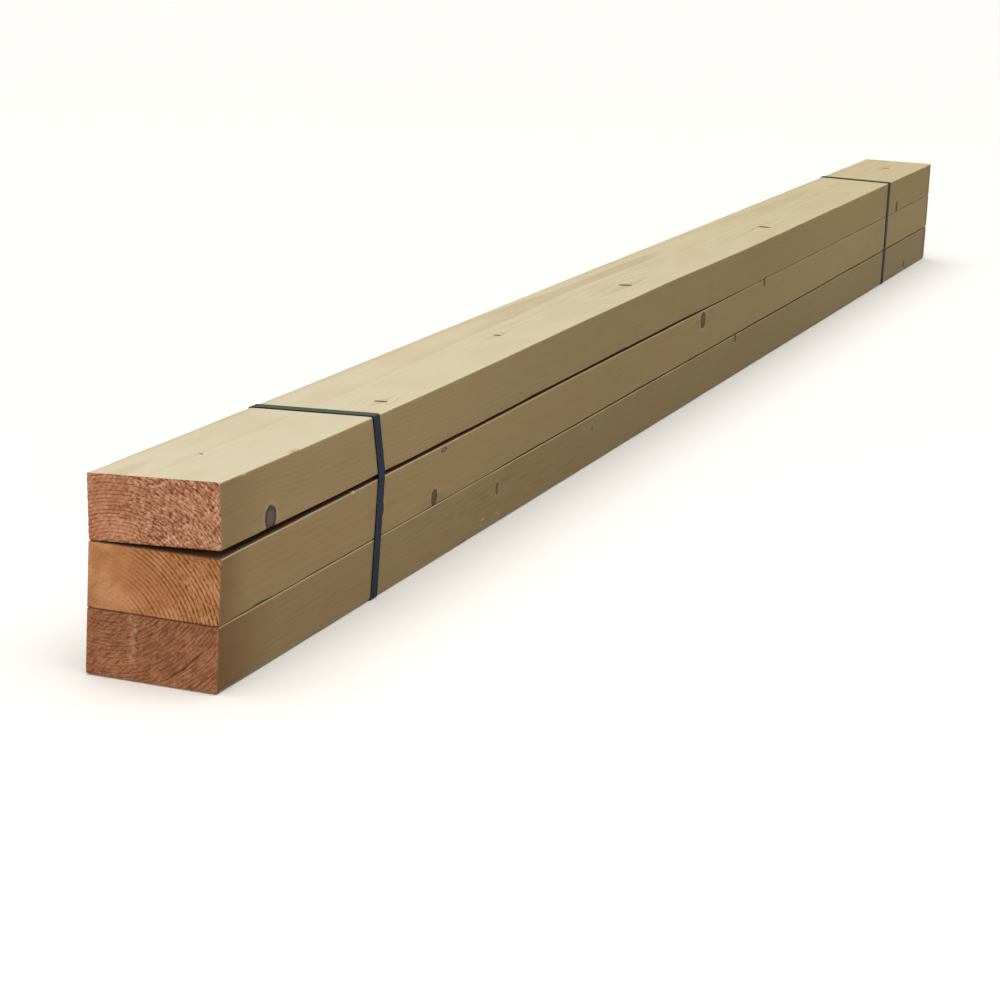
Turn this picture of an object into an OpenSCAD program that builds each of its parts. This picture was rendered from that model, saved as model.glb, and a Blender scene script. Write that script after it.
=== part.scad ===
// Bundle of planed pine studs: laid flat one on another and held by two straps.
//
// Frame: +X runs along the studs, from the near end to the far end. The outer
// side, where the joints between the studs stand open, faces -Y. The origin is
// on the floor, under the middle of the bundle, and the straps lie on the floor.
//
// The upper studs are slightly twisted. Each one bears on the stud below along
// its inner (+Y) edge, and its outer edge lifts clear by the height of a joint.

/* [Studs] */
// Length of a stud
stud_l = 2400; // [900:100:4800]
// Width of a stud's broad face
stud_w = 95; // [60:1:240]
// Thickness of a stud
stud_t = 45; // [30:1:75]
// Radius of the eased long edges
arris_r = 1; // [0.5:0.5:6]

/* [Joints between the studs] */
// Gap left along the edge where one stud bears on the next
seat_gap = 0.2; // [0.05:0.05:0.5]
// Height of the upper joint at the near end
upper_joint_end = 5.4; // [3:0.1:9]
// Height of the upper joint along the first half
upper_joint_mid = 2.2; // [0.5:0.1:3]
// Distance from the near end in which the upper joint narrows
upper_joint_run = 220; // [100:10:400]
// Distance from the near end where the upper joint begins to close
upper_joint_closes_at = 1000; // [500:50:2000]
// Distance in which the upper joint closes
upper_joint_closes_in = 400; // [200:50:800]
// Height of the lower joint along the far part
lower_joint = 1.1; // [0.5:0.1:3]
// Distance from the near end where the lower joint begins to open
lower_joint_opens_at = 350; // [100:50:1000]
// Distance in which the lower joint opens
lower_joint_opens_in = 450; // [200:50:800]

/* [Straps] */
// Width of a strap
strap_w = 12; // [9:1:25]
// Thickness of a strap
strap_t = 0.7; // [0.4:0.1:1.2]
// Clearance between a strap and the wood
strap_gap = 0.15; // [0.1:0.05:0.3]
// Distance from the near end to the middle of the near strap
near_strap_inset = 269; // [100:1:400]
// Distance from the far end to the middle of the far strap
far_strap_inset = 298; // [100:1:400]
// Length of a strap's welded lap, half way up the inner side
lap_l = 60; // [30:1:80]
// How far the near strap has slipped along, where it bends over the top outer edge
near_strap_top_slip = -7; // [-15:1:15]
// How far the near strap has slipped along, where it crosses the upper joint
near_strap_joint_slip = 5; // [-15:1:15]
// How far the near strap has slipped along, where it bends over the top inner edge
near_strap_back_slip = -13; // [-30:1:30]
// How far the far strap has slipped along, where it bends over the top inner edge
far_strap_back_slip = 10; // [-30:1:30]

/* [Hidden] */
pine = "BurlyWood";
strap_grey = "DarkSlateGray";
// Facets round one eased edge of a swept stud, and of a strap where it bends
arris_facets = 3;
bend_facets = 5;
// Longest step between the sections of a swept stud
section_step = 100;
// The lap's cut ends slope over this length
lap_cut = 0.5;
// A corner nearer than this to the line of its neighbours doesn't bend a strap
flush = 0.05;
// The wood stands on the straps
wood_z = strap_t + strap_gap;
// Centres of a stud's eased edges, in its own section
edge_y = stud_w / 2 - arris_r;
lower_z = arris_r;
upper_z = stud_t - arris_r;
full = 360;
circle_facets = 48;

// ---- Heights of the joints, at distance s from the near end ----

function ease(x) = let (u = min(1, max(0, x))) u * u * (3 - 2 * u);

function upper_joint(s) =
    seat_gap
    + (upper_joint_end - upper_joint_mid) * exp(-s / upper_joint_run)
    + (upper_joint_mid - seat_gap) * (1 - ease((s - upper_joint_closes_at) / upper_joint_closes_in));

function lower_joint_at(s) =
    seat_gap + (lower_joint - seat_gap) * ease((s - lower_joint_opens_at) / lower_joint_opens_in);

// ---- Where a point of a stud's section lies in the bundle ----
// Sections are in the YZ plane. Level 0 is the bottom stud and level 2 the top one.

// The lean of a stud whose outer edge is lifted until its joint has this height
function lean(joint) = asin((joint - seat_gap) / stud_w);

function lean_at(level, s) = lean(level == 1 ? lower_joint_at(s) : upper_joint(s));

// Turns a point about the stud's lower inner corner, which lifts its outer side
function leant(p, angle) =
    let (y = p.x - stud_w / 2, z = p.y)
    [stud_w / 2 + y * cos(angle) + z * sin(angle), z * cos(angle) - y * sin(angle)];

// A stud leans on the one below, and then leans with it
function placed(level, p, s) =
    level == 0
    ? [p.x, p.y + wood_z]
    : placed(level - 1, leant(p, lean_at(level, s)) + [0, stud_t + seat_gap], s);

// ---- Studs ----

function arc(centre, r, from, to, facets) =
    [for (k = [0 : facets])
        let (a = from + (to - from) * k / facets)
        centre + r * [cos(a), sin(a)]];

// Outline of a stud's section with eased edges, counter-clockwise seen from +X
function stud_outline() = concat(
    arc([-edge_y, lower_z], arris_r, 180, 270, arris_facets),
    arc([edge_y, lower_z], arris_r, 270, 360, arris_facets),
    arc([edge_y, upper_z], arris_r, 0, 90, arris_facets),
    arc([-edge_y, upper_z], arris_r, 90, 180, arris_facets)
);

// Triangles that join rings of n points into a closed tube with ends
function tube_faces(rings, n) = concat(
    [[for (j = [0 : n - 1]) j]],
    [[for (j = [n - 1 : -1 : 0]) (rings - 1) * n + j]],
    [for (i = [0 : rings - 2], j = [0 : n - 1])
        [i * n + j, (i + 1) * n + j, (i + 1) * n + (j + 1) % n]],
    [for (i = [0 : rings - 2], j = [0 : n - 1])
        [i * n + j, (i + 1) * n + (j + 1) % n, i * n + (j + 1) % n]]
);

// A stud swept along the bundle, with its twist
module twisted_stud(level) {
    outline = stud_outline();
    steps = ceil(stud_l / section_step);
    points = [for (i = [0 : steps], p = outline)
        let (s = stud_l * i / steps, q = placed(level, p, s))
        [s - stud_l / 2, q.x, q.y]];
    polyhedron(points, tube_faces(steps + 1, len(outline)));
}

module straight_section() {
    translate([-edge_y, 0])
        square([2 * edge_y, stud_t]);
    translate([-stud_w / 2, lower_z])
        square([stud_w, upper_z - lower_z]);
    for (y = [-edge_y, edge_y], z = [lower_z, upper_z])
        translate([y, z])
            circle(r = arris_r, $fn = circle_facets);
}

module bottom_stud() {
    color(pine)
        translate([-stud_l / 2, 0, wood_z])
            rotate([90, 0, 90])
                linear_extrude(stud_l)
                    straight_section();
}

module middle_stud() {
    color(pine)
        twisted_stud(1);
}

module top_stud() {
    color(pine)
        twisted_stud(2);
}

// ---- Straps ----

// Centres of the eased edges round the stack at s, counter-clockwise from the
// bottom stud's lower outer edge
function edge_centres(s) = concat(
    [placed(0, [-edge_y, lower_z], s)],
    [for (level = [0 : 2], z = [lower_z, upper_z]) placed(level, [edge_y, z], s)],
    [for (level = [2 : -1 : 1], z = [upper_z, lower_z]) placed(level, [-edge_y, z], s)],
    [placed(0, [-edge_y, upper_z], s)]
);

// How far b stands out to the right of the line from a to c
function stands_out(a, b, c) = cross(b - a, c - a) / norm(c - a);

// The centres that a taut strap bends round: those on the stack's convex outline
function taut(points, i = 0, kept = []) =
    let (n = len(kept))
    i > len(points)
    ? [for (k = [0 : n - 2]) kept[k]]
    : n < 2 || stands_out(kept[n - 2], kept[n - 1], points[i % len(points)]) > flush
    ? taut(points, i + 1, concat(kept, [points[i % len(points)]]))
    : taut(points, i, [for (k = [0 : n - 2]) kept[k]]);

// Direction of the outward normal of the run from a to b
function normal_angle(a, b) = atan2(b.y - a.y, b.x - a.x) - 90;

// How far a strap has slipped along the bundle at the point p
function slip_at(p, top_slip, joint_slip, back_slip) =
    p.x > 0
    ? back_slip * (1 + p.y / stud_t) / 4
    : p.y > 2.5 * stud_t
    ? top_slip
    : joint_slip * min(1, p.y / (2 * stud_t));

// A station is [point on the strap's inner face, outward normal, slip, layers]
function bend(before, here, after, slip) =
    let (from = normal_angle(before, here),
         to = normal_angle(here, after),
         swing = (to - from + full) % full)
    [for (k = [0 : bend_facets])
        let (a = from + swing * k / bend_facets, n = [cos(a), sin(a)])
        [here + (arris_r + strap_gap) * n, n, slip, 1]];

// The lap lies on the run between two bends, half way along it
function lap(last, next) =
    let (run = next[0] - last[0],
         half = lap_l / 2 / norm(run),
         cut = lap_cut / norm(run))
    [for (m = [[-half - cut, 1], [-half, 2], [half, 2], [half + cut, 1]])
        let (share = 0.5 + m.x)
        [last[0] + share * run, last[1], last[2] + share * (next[2] - last[2]), m.y]];

function route(s, top_slip, joint_slip, back_slip) =
    let (centres = taut(edge_centres(s)),
         n = len(centres),
         bends = [for (i = [0 : n - 1])
            bend(centres[(i + n - 1) % n], centres[i], centres[(i + 1) % n],
                 slip_at(centres[i], top_slip, joint_slip, back_slip))])
    [for (i = [0 : n - 1])
        each i == 1 ? concat(bends[i], lap(bends[i][bend_facets], bends[i + 1][0])) : bends[i]];

// Faces of a closed loop of rings of 4 points
function loop_faces(rings) =
    [for (i = [0 : rings - 1], j = [0 : 3], half = [0, 1])
        let (a = i * 4 + j,
             b = i * 4 + (j + 1) % 4,
             c = (i + 1) % rings * 4 + j,
             d = (i + 1) % rings * 4 + (j + 1) % 4)
        half == 0 ? [a, d, c] : [a, b, d]];

module strap(s, top_slip, joint_slip, back_slip) {
    stations = route(s, top_slip, joint_slip, back_slip);
    x = s - stud_l / 2;
    points = [for (station = stations, corner = [[-1, 0], [1, 0], [1, 1], [-1, 1]])
        let (q = station[0] + corner.y * station[3] * strap_t * station[1])
        [x + station[2] + corner.x * strap_w / 2, q.x, q.y]];
    polyhedron(points, loop_faces(len(stations)));
}

module near_strap() {
    color(strap_grey)
        strap(near_strap_inset, near_strap_top_slip, near_strap_joint_slip, near_strap_back_slip);
}

module far_strap() {
    color(strap_grey)
        strap(stud_l - far_strap_inset, 0, 0, far_strap_back_slip);
}

bottom_stud();
middle_stud();
top_stud();
near_strap();
far_strap();
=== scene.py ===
# %% [markdown]
# # A bundle of pine studs, held by two straps
#
# Three planed softwood studs lie flat on one another. Each one was sawn to length, so its ends are
# rough, and planed on its four long faces, so those are smooth with eased edges. Two plastic straps
# hold them. The upper studs are slightly twisted, which opens the joints on one side.
#
# The sizes and the twist come from the frame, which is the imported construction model. Here we give
# each stud its surface: sawn ends, worn edges, growth rings and knots.

# %% Load the frame
import math

import bmesh
import bpy
import numpy as np
from mathutils import Matrix, Vector


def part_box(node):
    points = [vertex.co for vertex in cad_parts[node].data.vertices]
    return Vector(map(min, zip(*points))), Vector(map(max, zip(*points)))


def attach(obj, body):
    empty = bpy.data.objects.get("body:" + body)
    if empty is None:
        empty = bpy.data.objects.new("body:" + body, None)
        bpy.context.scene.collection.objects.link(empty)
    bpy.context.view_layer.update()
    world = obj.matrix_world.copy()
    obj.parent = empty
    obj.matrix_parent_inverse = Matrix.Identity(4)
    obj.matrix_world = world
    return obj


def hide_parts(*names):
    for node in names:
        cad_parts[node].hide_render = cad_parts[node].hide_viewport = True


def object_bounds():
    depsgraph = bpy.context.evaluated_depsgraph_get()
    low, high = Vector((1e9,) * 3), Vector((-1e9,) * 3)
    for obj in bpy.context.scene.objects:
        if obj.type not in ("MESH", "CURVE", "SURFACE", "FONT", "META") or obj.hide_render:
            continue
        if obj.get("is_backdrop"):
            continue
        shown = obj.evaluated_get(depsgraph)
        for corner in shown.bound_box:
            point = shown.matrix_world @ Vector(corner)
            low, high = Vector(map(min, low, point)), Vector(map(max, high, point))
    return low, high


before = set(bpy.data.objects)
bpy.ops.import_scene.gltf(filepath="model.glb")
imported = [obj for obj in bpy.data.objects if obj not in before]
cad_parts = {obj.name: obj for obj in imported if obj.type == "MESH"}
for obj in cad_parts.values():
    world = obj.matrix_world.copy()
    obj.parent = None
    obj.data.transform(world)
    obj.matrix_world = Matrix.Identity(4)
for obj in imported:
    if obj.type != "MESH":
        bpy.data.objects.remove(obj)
cad_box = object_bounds()
print("bundle measures", [round(b - a, 4) for a, b in zip(*cad_box)], "m")

# %% [markdown]
# ## Small helpers
#
# A lesson script stays readable when it says each thing once. Lengths are written in millimetres,
# as on a drawing, and `MM` turns them to metres. Colours are written as the sRGB hex values that a
# paint program shows, and Blender's shaders want linear light, so one function converts them.
# One more function adds a node to any tree, with its settings and its links.

# %% Helpers
MM = 0.001

# Short names for the kinds of node that are used most
MATH = "ShaderNodeMath"
VECTOR = "ShaderNodeVectorMath"
COMBINE = "ShaderNodeCombineXYZ"
SEPARATE = "ShaderNodeSeparateXYZ"
NOISE = "ShaderNodeTexNoise"
REMAP = "ShaderNodeMapRange"
MIX = "ShaderNodeMix"

# Settings that come back often: a range with soft ends, a mix of two colours, and plain sums,
# for numbers and for vectors alike
SOFT = {"interpolation_type": "SMOOTHSTEP"}
COLOURS = {"data_type": "RGBA", "out": "Result"}
PLUS, MINUS, TIMES, DIVIDED, TIMES_PLUS = (
    {"operation": name} for name in ("ADD", "SUBTRACT", "MULTIPLY", "DIVIDE", "MULTIPLY_ADD")
)


def rgb(hex_colour):
    """Linear RGBA from an sRGB hex colour such as "d8c8a0"."""
    parts = [int(hex_colour[i:i + 2], 16) / 255 for i in (0, 2, 4)]
    linear = [c / 12.92 if c <= 0.04045 else ((c + 0.055) / 1.055) ** 2.4 for c in parts]
    return (*linear, 1.0)


def add(tree, kind, inputs=(), out=0, **settings):
    """Adds a node and returns one of its outputs, or the node itself where out is None.

    inputs is a row of values in socket order, or a map from a socket's name or number. Each value
    is a number, a hex colour, a material and so on, or another node's output, which is then linked.
    """
    node = tree.nodes.new(kind)
    for name, value in settings.items():
        setattr(node, name, value)
    for key, value in inputs.items() if isinstance(inputs, dict) else enumerate(inputs):
        socket = node.inputs[key]
        if isinstance(value, bpy.types.NodeSocket):
            tree.links.new(value, socket)
        else:
            socket.default_value = rgb(value) if socket.type == "RGBA" else value
    return node if out is None else node.outputs[out]


def how_far_from(tree, value, centre):
    """How far a value is from a centre, as two nodes."""
    away = add(tree, MATH, (value, centre), **MINUS)
    return add(tree, MATH, (away,), operation="ABSOLUTE")


def geometry_tree(name, sizes):
    """A Geometry Nodes tree with named inputs: sizes maps each name to a default value."""
    tree = bpy.data.node_groups.new(name, "GeometryNodeTree")
    kinds = {float: "NodeSocketFloat", int: "NodeSocketInt", bool: "NodeSocketBool"}
    for label, value in sizes.items():
        kind = kinds.get(type(value), value)
        socket = tree.interface.new_socket(label, in_out="INPUT", socket_type=kind)
        if type(value) in kinds:
            socket.default_value = value
    tree.interface.new_socket("Geometry", in_out="OUTPUT", socket_type="NodeSocketGeometry")
    given = add(tree, "NodeGroupInput", out=None).outputs
    return tree, given


def run_tree(name, tree, values):
    """Runs a tree with these input values and returns its result as a plain mesh object."""
    holder = bpy.data.objects.new(name, bpy.data.meshes.new(name + "_start"))
    bpy.context.scene.collection.objects.link(holder)
    modifier = holder.modifiers.new("tree", "NODES")
    modifier.node_group = tree
    sockets = {i.name: i.identifier for i in tree.interface.items_tree if i.in_out == "INPUT"}
    for label, value in values.items():
        modifier[sockets[label]] = value
    depsgraph = bpy.context.evaluated_depsgraph_get()
    mesh = bpy.data.meshes.new_from_object(holder.evaluated_get(depsgraph), depsgraph=depsgraph)
    mesh.name = name
    holder.modifiers.clear()
    holder.data = mesh
    triangles = sum(len(p.vertices) - 2 for p in mesh.polygons)
    print(f"{name}: {len(mesh.vertices)} points, {triangles} triangles")
    return holder


# %% [markdown]
# ## Camera, floor and light
#
# A long lens from low down, near the sawn end, looks along the bundle: the near end is large and
# the far end small. The camera is aimed at a point and then rolled a little, as a hand-held
# camera is.
#
# The main light comes from straight above and is as wide as an overcast sky, so its shadows are
# soft and it is equally strong everywhere. Weak soft boxes fill the near end and the open side.
# The floor is pale and plain. It is hidden from diffuse rays, or its bounce would light the studs'
# sides almost as brightly as their tops.

# %% Camera
near_x = cad_box[0].x
camera = bpy.data.objects.new("camera", bpy.data.cameras.new("camera"))
bpy.context.scene.collection.objects.link(camera)
camera.data.lens = 98.2
camera.data.sensor_width = 36
camera.data.clip_end = 60
camera.location = (near_x - 1.5420, -0.7583, 0.5401)
aim = Vector((near_x + 1.2218, 0.1819, -0.1506))
camera_roll = math.radians(3.17)
look = (aim - camera.location).to_track_quat("-Z", "Y").to_matrix().to_4x4()
camera.matrix_world = Matrix.Translation(camera.location) @ look @ Matrix.Rotation(camera_roll, 4, "Z")
bpy.context.scene.camera = camera
print("camera", tuple(round(c, 3) for c in camera.location))

# %% Floor and lights
bpy.context.scene.view_settings.view_transform = "Standard"

floor_mesh = bpy.data.meshes.new("floor")
floor_reach, floor_gap = 40, 0.05 * MM
floor_corners = [(x * floor_reach, y * floor_reach, 0) for x, y in ((-1, -1), (1, -1), (1, 1), (-1, 1))]
floor_mesh.from_pydata(floor_corners, [], [(0, 1, 2, 3)])
floor = bpy.data.objects.new("floor", floor_mesh)
bpy.context.scene.collection.objects.link(floor)
floor.location.z = cad_box[0].z - floor_gap
floor.visible_diffuse = False
floor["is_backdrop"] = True

floor_paint = bpy.data.materials.new("floor_paint")
floor_paint.use_nodes = True
floor_shader = floor_paint.node_tree.nodes["Principled BSDF"]
floor_shader.inputs["Base Color"].default_value = rgb("f4f2ee")
floor_shader.inputs["Roughness"].default_value = 1
floor_shader.inputs["Specular IOR Level"].default_value = 0
floor_mesh.materials.append(floor_paint)


def soft_box(name, place, target, width, height, watts, colour):
    """A rectangular area light at place, facing target."""
    light = bpy.data.lights.new(name, "AREA")
    light.shape = "RECTANGLE"
    light.size = width
    light.size_y = height
    light.energy = watts
    light.color = rgb(colour)[:3]
    holder = bpy.data.objects.new(name, light)
    bpy.context.scene.collection.objects.link(holder)
    turn = (Vector(target) - Vector(place)).to_track_quat("-Z", "Y").to_matrix().to_4x4()
    holder.matrix_world = Matrix.Translation(place) @ turn
    return holder


overcast = bpy.data.objects.new("overcast", bpy.data.lights.new("overcast", "SUN"))
overcast.data.energy = 3.0
overcast.data.angle = math.radians(80)
bpy.context.scene.collection.objects.link(overcast)
soft_box("near_end_fill", (-4.5, 0.2, 1.2), (-1.2, 0, 0.07), 1.6, 1.4, 45, "fff0e0")
soft_box("side_fill", (-0.2, -4.0, 1.2), (0, 0, 0.07), 4.0, 1.6, 20, "fff0dc")

world = bpy.data.worlds.new("world")
bpy.context.scene.world = world
world.use_nodes = True
background = world.node_tree.nodes["Background"]
background.inputs["Color"].default_value = rgb("ffffff")
# Beyond the floor the camera sees a pale wall, which still lights the studs only a little
seen = add(world.node_tree, "ShaderNodeLightPath", out="Is Camera Ray")
glow = add(world.node_tree, REMAP, (seen, 0.0, 1.0, 0.15, 0.95))
world.node_tree.links.new(glow, background.inputs["Strength"])

# %% [markdown]
# ## How each stud lies
#
# A twisted stud is a straight one that leans a little more at one end than at the other. The
# construction model has its outline at many places along it. At each place the mean of the
# outline's points is the middle of the stud, and the direction in which they spread most is its
# broad face. That gives a spine: a line of middles, each with its lean.

# %% Measure the spines
STUDS = ["bottom_stud", "middle_stud", "top_stud"]


def outline_points(node):
    """The node's points, without repeats, grouped by their place along the bundle."""
    co = np.array([v.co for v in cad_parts[node].data.vertices])
    co = np.unique(co.round(6), axis=0)
    return {x: co[np.abs(co[:, 0] - x) < 1e-5][:, 1:] for x in np.unique(co[:, 0].round(5))}


def measure_spine(node):
    """Rows of (x, middle y, middle z, lean) along a stud."""
    rows = []
    for x, points in outline_points(node).items():
        middle = points.mean(0)
        spread = points - middle
        values, vectors = np.linalg.eigh(spread.T @ spread)
        across = vectors[:, 1] * np.sign(vectors[0, 1])
        rows.append((x, *middle, math.atan2(across[1], across[0])))
    return np.array(rows)


spines = {node: measure_spine(node) for node in STUDS}
for node, rows in spines.items():
    leans = np.degrees(rows[[0, -1], 3]).round(2)
    print(node, "spine of", len(rows), "places; leans", leans, "degrees")

# %% [markdown]
# ## One tree for every stud
#
# The shape of a stud follows a rule, so Geometry Nodes makes it. One tree makes all three, with
# named inputs for what differs. It starts from a cube of side 2 with a grid on every face. A sine
# crowds the grid towards the edges and ends, where the small shapes are, and leaves it wide in the
# middle of the plain faces.

# %% Start the tree: a crowded grid
bottom_low, bottom_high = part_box("bottom_stud")
stud_length, stud_width, stud_thickness = bottom_high - bottom_low
edge_radius = 1 * MM
LENGTH, WIDTH, THICK = (round(v / MM, 2) for v in (stud_length, stud_width, stud_thickness))
print("each stud is", LENGTH, "x", WIDTH, "x", THICK, "mm")

tree, given = geometry_tree("stud_by_rule", {
    "Spine": "NodeSocketObject", "Length": stud_length, "Width": stud_width,
    "Thickness": stud_thickness, "Cuts along": 200, "Cuts across": 131, "Cuts through": 63,
    "Edge radius": edge_radius, "Edge wear": 0.3 * MM, "Chip depth": 1.2 * MM, "Wear reach": 3.5 * MM,
    "Chip reach": 160 * MM, "Saw relief": 0.35 * MM, "Saw angle": 0.6, "Saw pitch": 3.2 * MM,
    "Torn width": 1.8 * MM, "Seed": 1.0,
    "Cracked": False, "Crack": "NodeSocketObject", "Wood": "NodeSocketMaterial",
})
cube = add(tree, "GeometryNodeMeshCube", {
    "Size": (2, 2, 2), "Vertices X": given["Cuts along"],
    "Vertices Y": given["Cuts across"], "Vertices Z": given["Cuts through"],
})
crowding = (0.9, 0.7, 0.6)
unit_place = add(tree, "GeometryNodeInputPosition")
quarter_turn = add(tree, VECTOR, {0: unit_place, "Scale": math.pi / 2}, operation="SCALE")
wave = add(tree, VECTOR, (quarter_turn,), operation="SINE")
evenly = add(tree, VECTOR, (unit_place, tuple(1 - c for c in crowding)), **TIMES)
crowded = add(tree, VECTOR, (wave, crowding, evenly), **TIMES_PLUS)
half = add(tree, COMBINE, [
    add(tree, MATH, (given[size], 0.5), **TIMES)
    for size in ("Length", "Width", "Thickness")
])
box_place = add(tree, VECTOR, (crowded, half), **TIMES)
box_x, box_y, box_z = add(tree, SEPARATE, (box_place,), out=None).outputs
side = add(tree, VECTOR, (box_place,), operation="SIGN")
side_x, side_y, side_z = add(tree, SEPARATE, (side,), out=None).outputs

# %% [markdown]
# ### Eased edges
#
# A planer mill rounds the four long edges, which makes the timber kinder to hands. Take a smaller
# box inside the stud, one edge radius in from each long face. What lies past two faces of that
# inner box at once is a square corner, and each of its points is pulled in onto a quarter circle.
#
# Handling then wears the edges. How deep is decided by a noise that runs along each edge, and a
# second, sharper noise knocks a few chips out.

# %% Ease and wear the long edges
past_edges = {}
for reach in ("Edge radius", "Wear reach"):
    margin = add(tree, COMBINE, (0.0, given[reach], given[reach]))
    inner = add(tree, VECTOR, (half, margin), **MINUS)
    size = add(tree, VECTOR, (box_place,), operation="ABSOLUTE")
    beyond = add(tree, VECTOR, (size, inner), **MINUS)
    past_edges[reach] = add(tree, VECTOR, (beyond, (0, 0, 0)), operation="MAXIMUM")

past = past_edges["Edge radius"]
_, past_y, past_z = add(tree, SEPARATE, (past,), out=None).outputs
square_distance = add(tree, MATH, (past_y, past_z), operation="MAXIMUM")
distance = add(tree, VECTOR, (past,), operation="LENGTH", out="Value")
distance = add(tree, MATH, (distance, 1e-9), operation="MAXIMUM")
pull = add(tree, MATH, (square_distance, distance), **DIVIDED)
rounded = add(tree, VECTOR, {0: past, "Scale": pull}, operation="SCALE")
correction = add(tree, VECTOR, (rounded, past), **MINUS)
eased = add(tree, VECTOR, (side, correction, box_place), **TIMES_PLUS)

_, near_y, near_z = add(tree, SEPARATE, (past_edges["Wear reach"],), out=None).outputs
nearness = add(tree, MATH, (near_y, near_z), operation="MINIMUM")
nearness = add(tree, MATH, (nearness, given["Wear reach"]), **DIVIDED)
# Steps so large that each edge, and below each end, reads a noise of its own
ROW_STEP, COLUMN_STEP, END_STEP = 7.3, 4.1, 9.7
edge_row = add(tree, MATH, (side_y, ROW_STEP, given["Seed"]), **TIMES_PLUS)
edge_column = add(tree, MATH, (side_z, COLUMN_STEP), **TIMES)
knocks = []
from_middle = add(tree, MATH, (box_x,), operation="ABSOLUTE")
half_length = add(tree, MATH, (given["Length"], 0.5), **TIMES)
from_end = add(tree, MATH, (half_length, from_middle), **MINUS)
near_an_end = add(tree, REMAP, (from_end, given["Chip reach"], 0.0), **SOFT)
for wavelength, low, high, depth in ((60, 0.4, 0.75, "Edge wear"), (14, 0.6, 0.72, "Chip depth")):
    along_edge = add(tree, MATH, (box_x, wavelength * MM), **DIVIDED)
    place = add(tree, COMBINE, (along_edge, edge_row, edge_column))
    noise = add(tree, NOISE, {"Vector": place, "Scale": 1.0, "Detail": 2.0})
    amount = add(tree, REMAP, (noise, low, high), **SOFT)
    knocks.append(add(tree, MATH, (amount, given[depth]), **TIMES))
knocks[1] = add(tree, MATH, (knocks[1], near_an_end), **TIMES)
knock = add(tree, MATH, knocks, **PLUS)
knock = add(tree, MATH, (knock, nearness), **TIMES)
inward = add(tree, VECTOR, (side, (0, -1, -1)), **TIMES)
inward = add(tree, VECTOR, {0: inward, "Scale": knock}, operation="SCALE")
worn = add(tree, VECTOR, (eased, inward), **PLUS)

# %% [markdown]
# ### Sawn ends
#
# A saw leaves fine ridges across the end, one for each stroke of a tooth, and tears soft fibres
# between them. A sine gives the ridges, a noise bends and breaks them, and both press the end
# inwards by a few tenths of a millimetre. Nothing is pushed outwards here or anywhere else, so a
# stud never grows past its construction model.
#
# Two values are noted on the points for the material: `worn`, how deep the edge was knocked in, and
# `torn`, the height of the torn fibres.

# %% Saw the ends
across_saw = [
    add(tree, MATH, (box, add(tree, MATH, (given["Saw angle"],), operation=turn)), **TIMES)
    for box, turn in ((box_y, "COSINE"), (box_z, "SINE"))
]
across_saw = add(tree, MATH, across_saw, **PLUS)
place = add(tree, COMBINE, (
    add(tree, MATH, (side_x, END_STEP, given["Seed"]), **TIMES_PLUS),
    add(tree, MATH, (box_y, given["Torn width"]), **DIVIDED),
    add(tree, MATH, (box_z, given["Torn width"]), **DIVIDED),
))
torn = add(tree, NOISE, {"Vector": place, "Scale": 1.0, "Detail": 3.0, "Roughness": 0.6})
strokes = add(tree, MATH, (across_saw, given["Saw pitch"]), **DIVIDED)
bend = add(tree, MATH, (torn, 5.0), **TIMES)
phase = add(tree, MATH, (strokes, math.tau, bend), **TIMES_PLUS)
ridge = add(tree, MATH, (phase,), operation="SINE")
ridge = add(tree, MATH, (ridge, 0.25, 0.25), **TIMES_PLUS)
relief = add(tree, MATH, (ridge, torn), **PLUS)
relief = add(tree, MATH, (relief, given["Saw relief"]), **TIMES)
ALMOST_HALF = 0.49999
end_place = add(tree, MATH, (given["Length"], ALMOST_HALF), **TIMES)
at_end = add(tree, MATH, (from_middle, end_place), operation="GREATER_THAN")
pressed = add(tree, MATH, (relief, at_end), **TIMES)
into_stud = add(tree, MATH, (side_x, -1.0), **TIMES)
pressed = add(tree, MATH, (pressed, into_stud), **TIMES)
sawn_place = add(tree, VECTOR, (worn, add(tree, COMBINE, (pressed,))), **PLUS)
noted = cube
for label, value in (("worn", knock), ("torn", torn)):
    noted = add(tree, "GeometryNodeStoreNamedAttribute", {
        "Geometry": noted, "Name": label, "Value": value,
    }, data_type="FLOAT", domain="POINT")
sawn = add(tree, "GeometryNodeSetPosition", {"Geometry": noted, "Position": sawn_place})

# %% [markdown]
# ### Crack, memory and twist
#
# A boolean cuts the drying crack with a thin blade. Then the tree stores two things on the mesh.
# `grain` is each point's place in the straight stud: how far from the near end, how far across and
# how far up. The rings belong to the tree that the stud was sawn from, so the material reads this
# and the rings follow the twist. `sawn` marks the faces of the ends.
#
# Last, each point moves to its place along the spine and turns by the lean found there.

# %% Crack it, remember it, lay it on its spine
blade = add(tree, "GeometryNodeObjectInfo", {"Object": given["Crack"]}, out="Geometry")
cut = add(tree, "GeometryNodeMeshBoolean", {"Mesh 1": sawn, "Mesh 2": blade},
          operation="DIFFERENCE", solver="MANIFOLD")
cracked = add(tree, "GeometryNodeSwitch", {"Switch": given["Cracked"], "False": sawn, "True": cut},
              input_type="GEOMETRY")
straight = add(tree, "GeometryNodeInputPosition")
near_end_foot = add(tree, VECTOR, (half, (1, 0, 1), straight), **TIMES_PLUS)
remembered = add(tree, "GeometryNodeStoreNamedAttribute", {
    "Geometry": cracked, "Name": "grain", "Value": near_end_foot,
}, data_type="FLOAT_VECTOR", domain="POINT")
FACING_END = 0.6  # a normal with more of x than this belongs to an end
facing, _, _ = add(tree, SEPARATE, (add(tree, "GeometryNodeInputNormal"),), out=None).outputs
facing = add(tree, MATH, (facing,), operation="ABSOLUTE")
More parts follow.
